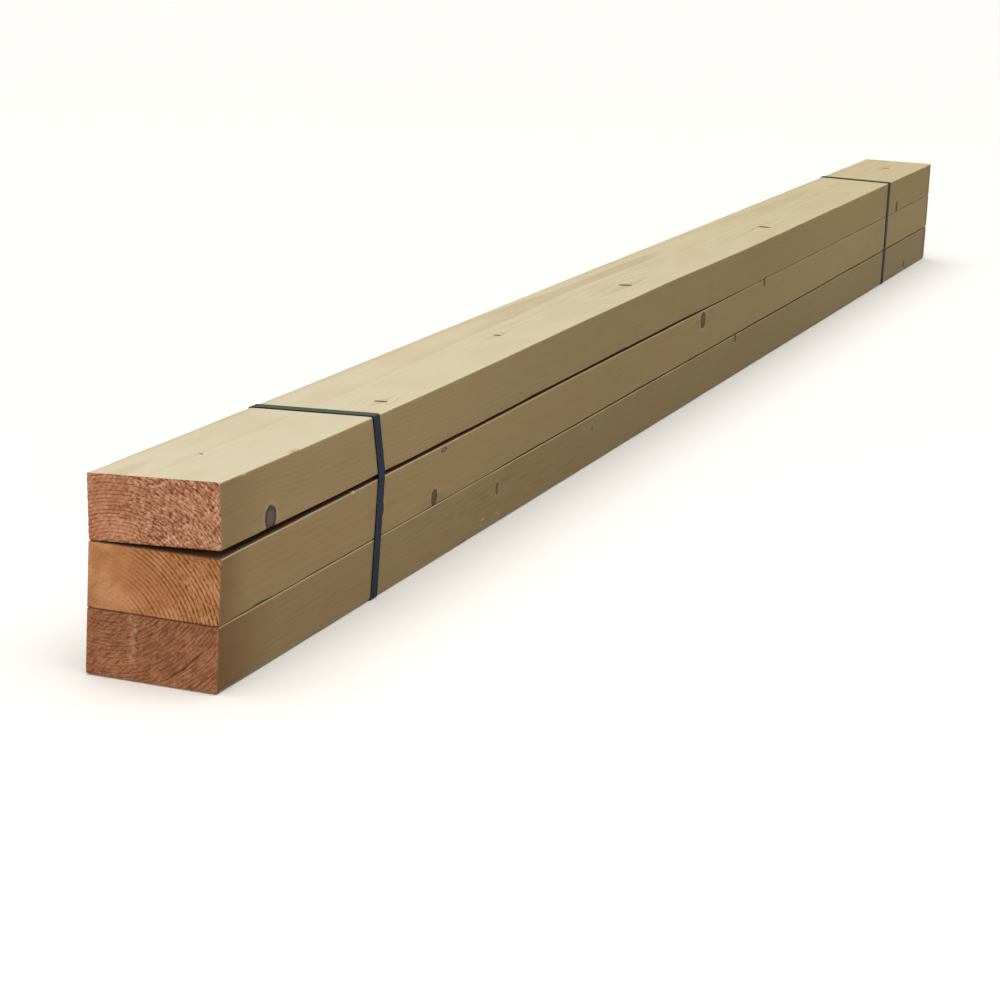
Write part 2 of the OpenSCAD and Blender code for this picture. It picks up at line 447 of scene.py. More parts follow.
marked = add(tree, "GeometryNodeStoreNamedAttribute", {
    "Geometry": remembered, "Name": "sawn",
    "Value": add(tree, MATH, (facing, FACING_END), operation="GREATER_THAN"),
}, data_type="FLOAT", domain="FACE")

grain = add(tree, "GeometryNodeInputNamedAttribute", {"Name": "grain"}, data_type="FLOAT_VECTOR")
along, _, _ = add(tree, SEPARATE, (grain,), out=None).outputs
spine = add(tree, "GeometryNodeObjectInfo", {"Object": given["Spine"]}, out="Geometry")
spine = add(tree, "GeometryNodeMeshToCurve", {"Mesh": spine})
lean = add(tree, "GeometryNodeInputNamedAttribute", {"Name": "lean"}, data_type="FLOAT")
found = add(tree, "GeometryNodeSampleCurve", {"Curves": spine, "Value": lean, "Length": along},
            mode="LENGTH", data_type="FLOAT", out=None)
section = add(tree, VECTOR, (straight, (0, 1, 1)), **TIMES)
turned = add(tree, "ShaderNodeVectorRotate", {
    "Vector": section, "Axis": (1, 0, 0), "Angle": found.outputs["Value"],
}, rotation_type="AXIS_ANGLE")
laid = add(tree, "GeometryNodeSetPosition", {
    "Geometry": marked,
    "Position": add(tree, VECTOR, (found.outputs["Position"], turned), **PLUS),
})

# %% Finish the tree: smooth faces, sharp sawn edges
def finish_tree(tree, geometry, material, sharp_angle):
    """Smooth faces with sharp edges past an angle in degrees, real geometry, and the material."""
    smooth = add(tree, "GeometryNodeSetShadeSmooth", {"Geometry": geometry, "Shade Smooth": True})
    fold = add(tree, "GeometryNodeInputMeshEdgeAngle")
    is_sharp = add(tree, MATH, (fold, math.radians(sharp_angle)), operation="GREATER_THAN")
    sharp = add(tree, "GeometryNodeSetShadeSmooth", {
        "Geometry": smooth, "Selection": is_sharp, "Shade Smooth": False,
    }, domain="EDGE")
    real = add(tree, "GeometryNodeRealizeInstances", {"Geometry": sharp})
    painted = add(tree, "GeometryNodeSetMaterial", {"Geometry": real, "Material": material})
    add(tree, "NodeGroupOutput", {"Geometry": painted}, out=None)
    print(tree.name, "has", len(tree.nodes), "nodes")


stud_tree = tree
finish_tree(stud_tree, laid, given["Wood"], 40)


def guide_line(name, points, **attributes):
    """A polyline mesh with values at its points, for Geometry Nodes to follow."""
    mesh = bpy.data.meshes.new(name)
    mesh.from_pydata([tuple(p) for p in points], [(i, i + 1) for i in range(len(points) - 1)], [])
    for label, values in attributes.items():
        values = np.asarray(values, float)
        kind, field = ("FLOAT", "value") if values.ndim == 1 else ("FLOAT_VECTOR", "vector")
        mesh.attributes.new(label, kind, "POINT").data.foreach_set(field, values.ravel())
    return bpy.data.objects.new(name, mesh)


# %% The blade that cuts the drying crack
def ring_blade(name, pith, start, finish, width, depth, steps=28):
    """A thin curved wedge that follows a growth ring in from the near end of a stud.

    pith, start and finish are (across, up) from the middle of the stud's end.
    """
    pith, start, finish = (np.array(p) for p in (pith, start, finish))
    spokes = [p - pith for p in (start, finish)]
    turns = [math.atan2(v[1], v[0]) for v in spokes]
    radii = [np.hypot(*v) for v in spokes]
    outline = []
    for edge, order in ((1, range(steps + 1)), (-1, range(steps - 1, 0, -1))):
        for i in order:
            t = i / steps
            turn = turns[0] + (turns[1] - turns[0]) * t
            wander = 0.35 * MM * math.sin(17 * t) * math.sin(math.pi * t)
            swell = 0.5 * width * math.sin(math.pi * t) ** 0.6 * (0.8 + 0.2 * math.sin(31 * t))
            radius = radii[0] + (radii[1] - radii[0]) * t + wander + edge * swell
            outline.append(pith + radius * np.array([math.cos(turn), math.sin(turn)]))
    middle = [np.mean((outline[i], outline[-i % len(outline)]), axis=0) for i in range(len(outline))]
    front = [(-stud_length / 2 - 2 * MM, *p) for p in outline]
    back = [(-stud_length / 2 + depth, *(0.2 * p + 0.8 * m)) for p, m in zip(outline, middle)]
    count = len(outline)
    sides = [(i, (i + 1) % count, (i + 1) % count + count, i + count) for i in range(count)]
    mesh = bpy.data.meshes.new(name)
    caps = [tuple(range(count))[::-1], tuple(range(count, 2 * count))]
    mesh.from_pydata(front + back, [], [*caps, *sides])
    whole = bmesh.new()
    whole.from_mesh(mesh)
    bmesh.ops.recalc_face_normals(whole, faces=whole.faces)
    bmesh.ops.triangulate(whole, faces=whole.faces)
    whole.to_mesh(mesh)
    whole.free()
    return bpy.data.objects.new(name, mesh)


drying_crack = ring_blade(
    "drying_crack", pith=(33.5 * MM, 63.5 * MM), start=(-37 * MM, 5.5 * MM),
    finish=(-4 * MM, -21.5 * MM), width=0.75 * MM, depth=14 * MM,
)

# %% [markdown]
# ## Wood, drawn from the tree it came from
#
# The material works in the `grain` attribute, in millimetres: how far along the stud, how far
# across, how far up. The growth rings are cylinders round the pith, which lies outside each of
# these studs. The distance to the pith divided by the ring spacing counts the rings. Its fraction
# runs from 0 to 1 through each ring: pale spring wood first, then darker summer wood, then a sharp
# step back to pale. Cut along the trunk this gives long lines, and cut across it gives arcs, with
# nothing more to say.
#
# A knot is a branch. It is a small ellipsoid with a dark core and a darker rim, and the grain flows
# round it: near the knot, the place that the rings are read from is pulled in towards its centre.

# %% A shader group for one knot
def shader_group(name, inputs, outputs):
    """A shader node group; inputs and outputs map each name to its kind of socket."""
    group = bpy.data.node_groups.new(name, "ShaderNodeTree")
    for names, in_out in ((inputs, "INPUT"), (outputs, "OUTPUT")):
        for label, kind in names.items():
            group.interface.new_socket(label, in_out=in_out, socket_type="NodeSocket" + kind)
    return group, add(group, "NodeGroupInput", out=None).outputs


tree, given = shader_group(
    "knot",
    {"Place": "Vector", "Centre": "Vector", "Radii": "Vector", "Swirl": "Vector"},
    {"Place": "Vector", "Core": "Float", "Rim": "Float", "Halo": "Float", "Near": "Float"},
)
offset = add(tree, VECTOR, (given["Place"], given["Centre"]), **MINUS)
scaled = add(tree, VECTOR, (offset, given["Radii"]), **DIVIDED)
reach = add(tree, VECTOR, (scaled,), operation="LENGTH", out="Value")
ragged = add(tree, NOISE, {"Vector": offset, "Scale": 0.35, "Detail": 2.0})
reach = add(tree, MATH, (ragged, 0.5, reach), **TIMES_PLUS)

# In radii of the knot: where the core ends, and where the dark rim and the pale halo lie
core_edge, rim_line, halo_line = 1.21, 1.1, 1.5
core = add(tree, REMAP, (reach, core_edge + 0.09, core_edge - 0.09), **SOFT)
rim = add(tree, REMAP, (how_far_from(tree, reach, rim_line), 0.25, 0.1))
halo = add(tree, REMAP, (how_far_from(tree, reach, halo_line), 0.25, 0.05))
swirl = add(tree, VECTOR, (offset, given["Swirl"]), **DIVIDED)
pull = add(tree, VECTOR, (swirl, swirl), operation="DOT_PRODUCT", out="Value")
pull = add(tree, MATH, (pull, -1.0), **TIMES)
pull = add(tree, MATH, (pull,), operation="EXPONENT")
DRAWN_IN = 0.85
sideways = add(tree, VECTOR, (offset, (0, -DRAWN_IN, -DRAWN_IN)), **TIMES)
sideways = add(tree, VECTOR, {0: sideways, "Scale": pull}, operation="SCALE")
warped = add(tree, VECTOR, (given["Place"], sideways), **PLUS)
add(tree, "NodeGroupOutput", {
    "Place": warped, "Core": core, "Rim": rim, "Halo": halo, "Near": pull,
}, out=None)
knot_group = tree
print("the knot group has", len(tree.nodes), "nodes")

# %% [markdown]
# ### The rings group
#
# The pith is not quite parallel to the stud, so its place changes along it, and slow noise makes
# the rings waver as they do in a real trunk. Each ring also has a strength of its own, from a
# random number that its whole number picks, because a tree has good years and bad ones.

# %% A shader group for the growth rings
tree, given = shader_group(
    "growth_rings",
    {"Place": "Vector", "Pith": "Vector", "Pith slope": "Vector", "Ring width": "Float",
     "Waver": "Float", "Seed": "Float"},
    {"Summer": "Float", "Ring place": "Vector"},
)
along, _, _ = add(tree, SEPARATE, (given["Place"],), out=None).outputs
pith = add(tree, VECTOR, {0: given["Pith slope"], "Scale": along}, operation="SCALE")
pith = add(tree, VECTOR, (pith, given["Pith"]), **PLUS)
spoke = add(tree, VECTOR, (given["Place"], pith), **MINUS)
spoke = add(tree, VECTOR, (spoke, (0, 1, 1)), **TIMES)
radius = add(tree, VECTOR, (spoke,), operation="LENGTH", out="Value")
count = add(tree, MATH, (radius, given["Ring width"]), **DIVIDED)
for scales, share, detail in (
    ((1 / 420, 1 / 60, 1 / 60), 1.0, 1.0), ((1 / 90, 1 / 14, 1 / 14), 0.15, 2.0),
):
    place = add(tree, VECTOR, (given["Place"], scales), **TIMES)
    noise = add(tree, NOISE, {"Vector": place, "W": given["Seed"], "Scale": 1.0, "Detail": detail},
                noise_dimensions="4D")
    strength = add(tree, MATH, (given["Waver"], share), **TIMES)
    count = add(tree, MATH, (noise, strength, count), **TIMES_PLUS)
whole = add(tree, MATH, (count,), operation="FLOOR")
year = add(tree, "ShaderNodeTexWhiteNoise",
           {"W": add(tree, MATH, (whole, given["Seed"]), **PLUS)}, noise_dimensions="1D")
fraction = add(tree, MATH, (count,), operation="FRACT")
rise = add(tree, REMAP, (fraction, 0.25, 0.93), **SOFT)
fall = add(tree, REMAP, (fraction, 1.0, 0.94), **SOFT)
summer = add(tree, MATH, (rise, fall), **TIMES)
year_strength = add(tree, REMAP, (year, 0.0, 1.0, 0.5, 1.0))
summer = add(tree, MATH, (summer, year_strength), **TIMES)

# The same place counted in the trunk's own way: along it, out from the pith and round the ring
_, spoke_y, spoke_z = add(tree, SEPARATE, (spoke,), out=None).outputs
USUAL_RADIUS = 60.0  # turns an angle into millimetres along a ring
turn = add(tree, MATH, (spoke_z, spoke_y), operation="ARCTAN2")
round_ring = add(tree, MATH, (turn, USUAL_RADIUS), **TIMES)
ring_place = add(tree, COMBINE, (along, radius, round_ring))
add(tree, "NodeGroupOutput", {"Summer": summer, "Ring place": ring_place}, out=None)
rings_group = tree
print("the rings group has", len(tree.nodes), "nodes")

# %% [markdown]
# ### Planed pine
#
# Pine is pale and matte. Its planed faces show only faint long lines, because the planer cuts spring
# and summer wood alike, and the lines stand out in some patches more than in others. The narrow
# faces are painted browner than the broad ones, as painted warm shade on the bundle's sides, and the
# faces at the joints are painted darkest of all, as painted shade in the joints.
#
# The sawn ends are a different sight. Light sinks into the open ends of the fibres, so they are
# deeper in colour. The rings show strongly; torn fibres get painted highlights, their pits painted
# shade.

# %% The planed faces
HALFWAY = 1100.0  # the middle of the browner stretch, in millimetres from the near end
FAR_END_SHORTER_BROWNING = 3.0  # the far end browns over a third of the length
KNOT_LINES = 2.4  # how much stronger the ring lines are beside a knot


def planed_faces(tree, look, place, true_place, summer, near_knot):
    """Colour of the four long faces, and the fibre streaks that also give them their bump."""
    along, across, up = add(tree, SEPARATE, (true_place,), out=None).outputs

    # The broad and the narrow faces each change tone from the near end to the far one
    drift = add(tree, REMAP, (along, 0.0, LENGTH))
    tones = []
    for faces in ("broad", "narrow"):
        near_tone, far_tone = look[faces]
        tones.append(add(tree, MIX, {"Factor": drift, "A": near_tone, "B": far_tone}, **COLOURS))
    aside = add(tree, MATH, (across,), operation="ABSOLUTE")
    is_narrow = add(tree, REMAP, (aside, WIDTH / 2 - 0.55, WIDTH / 2 - 0.1), **SOFT)
    halfway = how_far_from(tree, along, HALFWAY)
    halfway = add(tree, REMAP, (halfway, 800.0, 300.0, 0.0, look["halfway_strength"]), **SOFT)
    tones[1] = add(tree, MIX, {"Factor": halfway, "A": tones[1], "B": look["halfway"]}, **COLOURS)

    # Near the sawn ends the narrow faces turn browner
    reach, strength = look["end_browning"]
    to_far_end = add(tree, MATH, (LENGTH, along), **MINUS)
    to_far_end = add(tree, MATH, (to_far_end, FAR_END_SHORTER_BROWNING), **TIMES)
    to_an_end = add(tree, MATH, (along, to_far_end), operation="MINIMUM")
    near_end_browning = add(tree, REMAP, (to_an_end, reach, 0.0, 0.0, strength), **SOFT)
    tones[1] = add(tree, MIX, {"Factor": near_end_browning, "A": tones[1], "B": "885f37"}, **COLOURS)
    # The narrow faces take the browner narrow tone: painted warm shade on the bundle's sides
    tone = add(tree, MIX, {"Factor": is_narrow, "A": tones[0], "B": tones[1]}, **COLOURS)

    # Bands of redder and yellower wood, a hand long
    band_place = add(tree, VECTOR, (true_place, (150, 45, 45)), **DIVIDED)
    bands = add(tree, NOISE, {"Vector": band_place, "Scale": 1.0, "Detail": 1.0})
    for full, band in ((0.7, "red_band"), (0.3, "green_band")):
        amount = add(tree, REMAP, (bands, 0.5, full, 0.0, 0.13), **SOFT)
        tone = add(tree, MIX, {"Factor": amount, "A": tone, "B": look[band]}, **COLOURS)

    # Ring lines stand out in patches, most of all round the knots, and on some studs towards one side
    patch_place = add(tree, VECTOR, (true_place, (220, 40, 30)), **DIVIDED)
    patches = add(tree, NOISE, {"Vector": patch_place, "Scale": 1.0, "Detail": 1.0})
    patches = add(tree, REMAP, (patches, 0.42, 0.66, 0.2, 1.0), **SOFT)
    by_knots = add(tree, MATH, (near_knot, KNOT_LINES), **TIMES)
    patches = add(tree, MATH, (patches, by_knots), operation="MAXIMUM")
    one_side = add(tree, REMAP, (across, *look["lines_from"]), **SOFT)
    patches = add(tree, MATH, (patches, one_side), **PLUS)
    lines = add(tree, MATH, (summer, patches), **TIMES)
    lines = add(tree, MATH, (lines, look["line_strength"]), **TIMES)
    face = add(tree, MIX, {"Factor": lines, "A": tone, "B": look["line"]}, **COLOURS)

    # Fibre streaks, 0.9 mm wide, full strength only on one stretch of the stud
    fibre_place = add(tree, VECTOR, (place, (45, 0.9, 0.9)), **DIVIDED)
    streaks = add(tree, NOISE, {"Vector": fibre_place, "Scale": 1.0, "Detail": 3.0, "Roughness": 0.6})
    middle, half_stretch = look["streaky"]
    stretch = how_far_from(tree, along, middle)
    stretch = add(tree, REMAP, (stretch, half_stretch, half_stretch / 2, 0.4, 1.0), **SOFT)
    dark_streaks = add(tree, REMAP, (streaks, 0.5, 0.7), **SOFT)
    dark_streaks = add(tree, MATH, (dark_streaks, stretch), **TIMES)
    dark_streaks = add(tree, MATH, (dark_streaks, look["streak_strength"]), **TIMES)
    face = add(tree, MIX, {"Factor": dark_streaks, "A": face, "B": look["line"]}, **COLOURS)

    # The eased edges are painted paler, partly wear and partly painted highlight, most near the near
    # end;
    # a fresh knock shows new wood
    corner = add(tree, MATH, (aside, how_far_from(tree, up, THICK / 2)), **PLUS)
    edge_wear_and_highlight_fade = add(tree, REMAP, (along, 300.0, 1500.0, 0.6, 0.08), **SOFT)
    least, most = (WIDTH + THICK) / 2 - 1.3, (WIDTH + THICK) / 2 - 0.8
    edge_wear_and_highlight = add(tree, REMAP, (corner, least, most, 0.0, edge_wear_and_highlight_fade), **SOFT)
    face = add(tree, MIX, {"Factor": edge_wear_and_highlight, "A": face, "B": "e2cfa6"}, **COLOURS)
    worn = add(tree, "ShaderNodeAttribute", attribute_name="worn", out="Fac")
    fresh = add(tree, REMAP, (worn, 0.35 * MM, 0.8 * MM, 0.0, 0.6), **SOFT)
    face = add(tree, MIX, {"Factor": fresh, "A": face, "B": "dfb88f"}, **COLOURS)
    return face, streaks, up


# %% The sawn ends
STROKE_SLANT = 0.75  # in radians


def sawn_ends(tree, look, true_place, ring_place, summer):
    """Colour of the two ends, and the torn texture that also gives them their bump."""
    _, across, up = add(tree, SEPARATE, (true_place,), out=None).outputs
    patch_place = add(tree, VECTOR, (true_place, (30, 22, 16)), **DIVIDED)
    patches = add(tree, NOISE, {"Vector": patch_place, "Scale": 1.0, "Detail": 2.0})
    patches = add(tree, REMAP, (patches, 0.4, 0.65), **SOFT)
    end = add(tree, MIX, {"Factor": patches, "A": look["end_dull"], "B": look["end_bright"]}, **COLOURS)

    # Rings, broken where fibres tore, and fading into clear wood on one side
    dash_place = add(tree, VECTOR, (ring_place, (1.5, *look["dash"])), **DIVIDED)
    dashes = add(tree, NOISE, {"Vector": dash_place, "Scale": 1.0, "Detail": 3.0, "Roughness": 0.65})
    whole = add(tree, REMAP, (dashes, 0.68, 0.4, 0.2, 1.0), **SOFT)
    clear = add(tree, REMAP, (across, *look["clear_from"], 1.0, look["clear_rings"]), **SOFT)
    rings = add(tree, REMAP, (summer, 0.1, 0.8), **SOFT)
    for share in (whole, clear, look["ring_strength"]):
        rings = add(tree, MATH, (rings, share), **TIMES)
    end = add(tree, MIX, {"Factor": rings, "A": end, "B": look["ring"]}, **COLOURS)

    # Torn fibres get pale specks of painted highlight, and the pits they came from get painted shade
    torn = add(tree, "ShaderNodeAttribute", attribute_name="torn", out="Fac")
    tufts = add(tree, MATH, (torn, dashes), **PLUS)
    tufts = add(tree, MATH, (tufts, 0.5), **TIMES)
    rough = add(tree, REMAP, (across, *look["torn_from"], look["torn_least"], 1.0), **SOFT)
    for least, most, strength, colour in (
        (0.51, 0.59, "speck_highlight", "speck"), (0.49, 0.4, "pit_shade", "pit"),
    ):
        amount = add(tree, REMAP, (tufts, least, most), **SOFT)
        for share in (rough, look[strength]):
            amount = add(tree, MATH, (amount, share), **TIMES)
        end = add(tree, MIX, {"Factor": amount, "A": end, "B": look[colour]}, **COLOURS)

    # Slanting strokes left by the saw
    slanted = add(tree, "ShaderNodeVectorRotate", {
        "Vector": true_place, "Axis": (1, 0, 0), "Angle": STROKE_SLANT,
    }, rotation_type="AXIS_ANGLE")
    slanted = add(tree, VECTOR, (slanted, (9, 9, 1.6)), **DIVIDED)
    strokes = add(tree, NOISE, {"Vector": slanted, "Scale": 1.0, "Detail": 2.0})
    strokes = add(tree, REMAP, (strokes, 0.5, 0.64, 0.0, look["strokes"]), **SOFT)
    end = add(tree, MIX, {"Factor": strokes, "A": end, "B": look["pit"]}, **COLOURS)

    # A ray of pale cells, where the look asks for one: (across, half width, foot)
    if "ray" in look:
        centre, half_width, foot = look["ray"]
        sway_place = add(tree, VECTOR, (true_place, (9, 9, 7)), **DIVIDED)
        sway = add(tree, NOISE, {"Vector": sway_place, "Scale": 1.0, "Detail": 2.0})
        sway = add(tree, MATH, (sway, 12.0, across), **TIMES_PLUS)
        ray = how_far_from(tree, sway, centre + 6)
        ray = add(tree, REMAP, (ray, half_width, 0.0, 0.0, 0.6), **SOFT)
        above_foot = add(tree, REMAP, (up, foot, foot + 8), **SOFT)
        flecks = add(tree, REMAP, (tufts, 0.42, 0.55), **SOFT)
        for share in (above_foot, flecks):
            ray = add(tree, MATH, (ray, share), **TIMES)
        end = add(tree, MIX, {"Factor": ray, "A": end, "B": look["speck"]}, **COLOURS)

    # Painted shade: a ragged dark line along each joint, the joint gap's shadow on the end
    ragged = add(tree, MATH, (torn, 1.2, up), **TIMES_PLUS)
    for _, (start, finish) in look["joint_shade"]:
        joint_gap_shadow = add(tree, REMAP, (ragged, start + 0.6, finish + 0.6, 0.0, 0.8), **SOFT)
        end = add(tree, MIX, {"Factor": joint_gap_shadow, "A": end, "B": "3a2118"}, **COLOURS)
    return end, dashes


# %% The pine material
def planed_pine(name, look):
    """Planed pine, for one stud. look has its pith, ring width, tones and knots."""
    material = bpy.data.materials.new(name)
    material.use_nodes = True
    tree = material.node_tree
    shader = tree.nodes["Principled BSDF"]
    grain = add(tree, "ShaderNodeAttribute", attribute_name="grain", out="Vector")
    true_place = add(tree, VECTOR, {0: grain, "Scale": 1 / MM}, operation="SCALE")

    # Each knot draws the grain in before the rings are read
    place, marks, near_knot = true_place, [], 0.0
    for centre, radii, swirl, core_colour, rim_colour in look["knots"]:
        knot = add(tree, "ShaderNodeGroup", {
            "Place": place, "Centre": centre, "Radii": radii, "Swirl": swirl,
        }, out=None, node_tree=knot_group)
        place = knot.outputs["Place"]
        near_knot = add(tree, MATH, (near_knot, knot.outputs["Near"]), operation="MAXIMUM")
        marks.append((knot, core_colour, rim_colour))
    rings = add(tree, "ShaderNodeGroup", {
        "Place": place, "Pith": look["pith"], "Pith slope": look["pith_slope"],
        "Ring width": look["ring_width"], "Waver": look["waver"], "Seed": look["seed"],
    }, out=None, node_tree=rings_group)
    summer = rings.outputs["Summer"]

    face, streaks, up = planed_faces(tree, look, place, true_place, summer, near_knot)
    # Painted shade: the long faces darken towards each joint
    for shut, _ in look["joint_shade"]:
        painted_joint_shade = add(tree, REMAP, (up, *shut, 0.0, 0.9), **SOFT)
        face = add(tree, MIX, {"Factor": painted_joint_shade, "A": face, "B": "6e4522"}, **COLOURS)
    for knot, core_colour, rim_colour in marks:
        halo = add(tree, MATH, (knot.outputs["Halo"], 0.25), **TIMES)
        rim = add(tree, MATH, (knot.outputs["Rim"], 0.85), **TIMES)
        core = knot.outputs["Core"]
        for amount, colour in ((halo, "e6cfa4"), (core, core_colour), (rim, rim_colour)):
            face = add(tree, MIX, {"Factor": amount, "A": face, "B": colour}, **COLOURS)
    end, dashes = sawn_ends(tree, look, true_place, rings.outputs["Ring place"], summer)
    sawn = add(tree, "ShaderNodeAttribute", attribute_name="sawn", out="Fac")
    colour = add(tree, MIX, {"Factor": sawn, "A": face, "B": end}, **COLOURS)
    tree.links.new(colour, shader.inputs["Base Color"])

    tree.links.new(add(tree, REMAP, (streaks, 0.3, 0.7, 0.6, 0.75)), shader.inputs["Roughness"])
    shader.inputs["Specular IOR Level"].default_value = 0.3
    deep = add(tree, MATH, (sawn, 4.0), **TIMES)
    height = add(tree, MATH, (dashes, deep, streaks), **TIMES_PLUS)
    bump = add(tree, "ShaderNodeBump", {"Height": height, "Strength": 0.6, "Distance": 0.1 * MM})
    tree.links.new(bump, shader.inputs["Normal"])
    return material


# %% [markdown]
# ### What each stud looks like
#
# All lengths here are millimetres in the stud's own straight shape: along from the near end, across
# from the middle, up from the underside. A knot has a centre, three radii, the reach of its swirl,
# and the colours of its core and rim. `joint_shade` says over which heights the long faces, then
# the ends, are painted with the shade of a joint.

# %% Tones, piths and knots
GREY_KNOT = ("705f5e", "3b2924")
BROWN_KNOT = ("644822", "473315")
PURPLE_KNOT = ("655038", "4b3925")
SMALL_MARK = ("93744c", "7f6039")
EYE = ("9c7f50", "5e4628")
OLIVE_KNOT = ("6f6236", "4f4526")
DARK_TICK = ("513a18", "37270f")
CHIP = ("d3b088", "a98a60")
FLECK = ("c2ad80", "a08a60")
# Heights, in mm, of the painted joint shade below and above a stud: on the long faces, then the ends
UNDER, OVER = ((0.4, 0.1), (0.9, 0.1)), ((44.6, 44.9), (44.1, 44.9))

shared = {
    "broad": ("d0c5a9", "c7b891"), "line": "9a774a",
    "red_band": "c08d5e", "green_band": "a59a66", "line_strength": 0.14, "streak_strength": 0.3,
    "streaky": (1200, 10), "lines_from": (48, 49), "ring": "7d4a2e", "speck": "fad8bc", "pit": "66382a",
    "clear_from": (-49, -48), "clear_rings": 1.0, "torn_from": (48, 40), "torn_least": 0.5,
    "speck_highlight": 0.55, "pit_shade": 0.6, "relief": 0.4, "tear": 1.8, "strokes": 0.15,
    "dash": (0.8, 2.6), "halfway": "7d6a3e", "halfway_strength": 0.27,
}
pine = {
    "bottom_stud": {
        **shared,
        "pith": (0, 33.5, 86), "pith_slope": (0, 0.002, -0.003), "ring_width": 2.6, "waver": 1.6,
        "seed": 1.3, "narrow": ("b4986a", "a59264"), "end_browning": (100, 0.9),
        "streaky": (575, 260), "streak_strength": 0.6,
        "end_dull": "b0714c", "end_bright": "c4835a", "ring_strength": 0.8, "dash": (0.9, 9),
        "speck_highlight": 0.3, "pit_shade": 0.4, "speck": "e0ae8c", "relief": 0.25, "strokes": 0.6,
        "ray": (14, 5, 8),
        "joint_shade": [OVER],
        "knots": [
            ((538, -47.5, 29), (3.4, 20, 5.2), (75, 20, 14), "79663c", "4b4024"),
            ((507, -47.5, 11), (4, 9, 2), (14, 9, 5), *FLECK),
            ((543, -47.5, 8), (3.5, 9, 2.4), (14, 9, 5), *FLECK),
            ((797, -47.5, 33), (1.6, 10, 2.6), (20, 15, 6), *DARK_TICK),
            ((1310, -47.5, 41.5), (3.6, 12, 4.8), (30, 20, 10), *DARK_TICK),
            ((2249, -47.5, 9), (6, 12, 5), (40, 20, 12), *GREY_KNOT),
            ((1010, 47.5, 20), (8, 24, 7), (44, 24, 16), *PURPLE_KNOT),
            ((1760, -8, 0), (6, 9, 16), (60, 18, 24), *BROWN_KNOT),
        ],
    },
    "middle_stud": {
        **shared,
        "pith": (0, 46, -26), "pith_slope": (0, 0.002, -0.002), "ring_width": 2.9, "waver": 0.8,
        "seed": 4.1, "narrow": ("c3a473", "bba370"), "end_browning": (55, 0.68), "halfway_strength": 0.22,
        "end_dull": "d2905d", "end_bright": "e9a878", "ring": "783a06", "ring_strength": 1.0,
        "speck": "e4a264", "pit": "6a3a0a",
        "torn_least": 0.15, "torn_from": (20, -20), "clear_from": (2, 26), "clear_rings": 0.12,
        "speck_highlight": 0.35, "relief": 0.25, "joint_shade": [UNDER, OVER],
        "knots": [
            ((277, -47.5, 20), (6, 24, 6), (38, 24, 15), *PURPLE_KNOT),
            ((222, -47.5, 44), (3, 3, 1.6), (9, 6, 5), "e4d6bc", "c9b48c"),
            ((389, -47.5, 6.5), (6.6, 24, 6.6), (36, 24, 15), *PURPLE_KNOT),
            ((406, -47.5, 41), (6.5, 10, 2), (30, 12, 8), *EYE),
            ((1169, -47.5, 35), (9.5, 24, 8.5), (48, 24, 18), *PURPLE_KNOT),
            ((1427, -47.5, 42), (3.8, 12, 5.5), (24, 15, 10), *DARK_TICK),
            ((642, 47.5, 31), (6, 24, 6.5), (40, 24, 15), *BROWN_KNOT),
            ((1905, 47.5, 17), (8, 24, 7), (46, 24, 16), *PURPLE_KNOT),
        ],
    },
    "top_stud": {
        **shared,
        "pith": (0, 28, -38), "pith_slope": (0, -0.002, -0.003), "ring_width": 2.6, "waver": 1.3,
        "seed": 7.7, "narrow": ("c6aa7b", "b49d65"), "end_browning": (95, 0.36), "line_strength": 0.2,
        "end_dull": "d48f68", "end_bright": "eca87e", "ring_strength": 0.85, "speck": "f8cda8",
        "torn_from": (38, 0), "torn_least": 0.3, "speck_highlight": 1.0, "pit_shade": 0.9, "relief": 0.9,
        "tear": 2.2, "lines_from": (-15, 35),
        "joint_shade": [UNDER],
        "knots": [
            ((77.5, -47.5, 7), (9, 24, 8.4), (34, 24, 14), *GREY_KNOT),
            ((2165, -47.5, 7), (7, 24, 8), (36, 24, 16), *BROWN_KNOT),
            ((83, 5.5, 45), (1.6, 1.6, 4), (6, 4, 4), *BROWN_KNOT),
            ((113, -47.5, 45), (3, 1.5, 1.3), (8, 5, 5), *CHIP),
            ((121, -47.5, 45), (4.5, 1.8, 1.2), (10, 5, 5), *CHIP),
            ((317, -29, 45), (3, 5.4, 10), (22, 14, 20), *OLIVE_KNOT),
            ((645, -5.0, 45), (3, 3.4, 10), (30, 9, 20), *OLIVE_KNOT),
            ((989, -15.5, 45), (5.5, 6.5, 16), (90, 18, 24), *OLIVE_KNOT),
            ((1530, -18, 45), (6, 7.5, 16), (90, 18, 24), *OLIVE_KNOT),
            ((2290, -3, 45), (5, 7, 14), (50, 18, 24), *SMALL_MARK),
            ((1402, 47.5, 22), (7, 24, 8), (44, 24, 11), *GREY_KNOT),
        ],
    },
}
for node, look in pine.items():
    look["material"] = planed_pine("planed_pine_" + node.removesuffix("_stud"), look)
    print(node, "material with", len(look["knots"]), "knots")

# %% Make the studs
studs = {}
for seed, node in enumerate(STUDS, 3):
    rows = spines[node]
    studs[node] = run_tree(node + "_wood", stud_tree, {
        "Spine": guide_line(node + "_spine", rows[:, :3], lean=rows[:, 3]), "Seed": float(seed),
        "Saw relief": pine[node]["relief"] * MM, "Torn width": pine[node]["tear"] * MM,
        "Cracked": node == "bottom_stud", "Crack": drying_crack, "Wood": pine[node]["material"],
    })

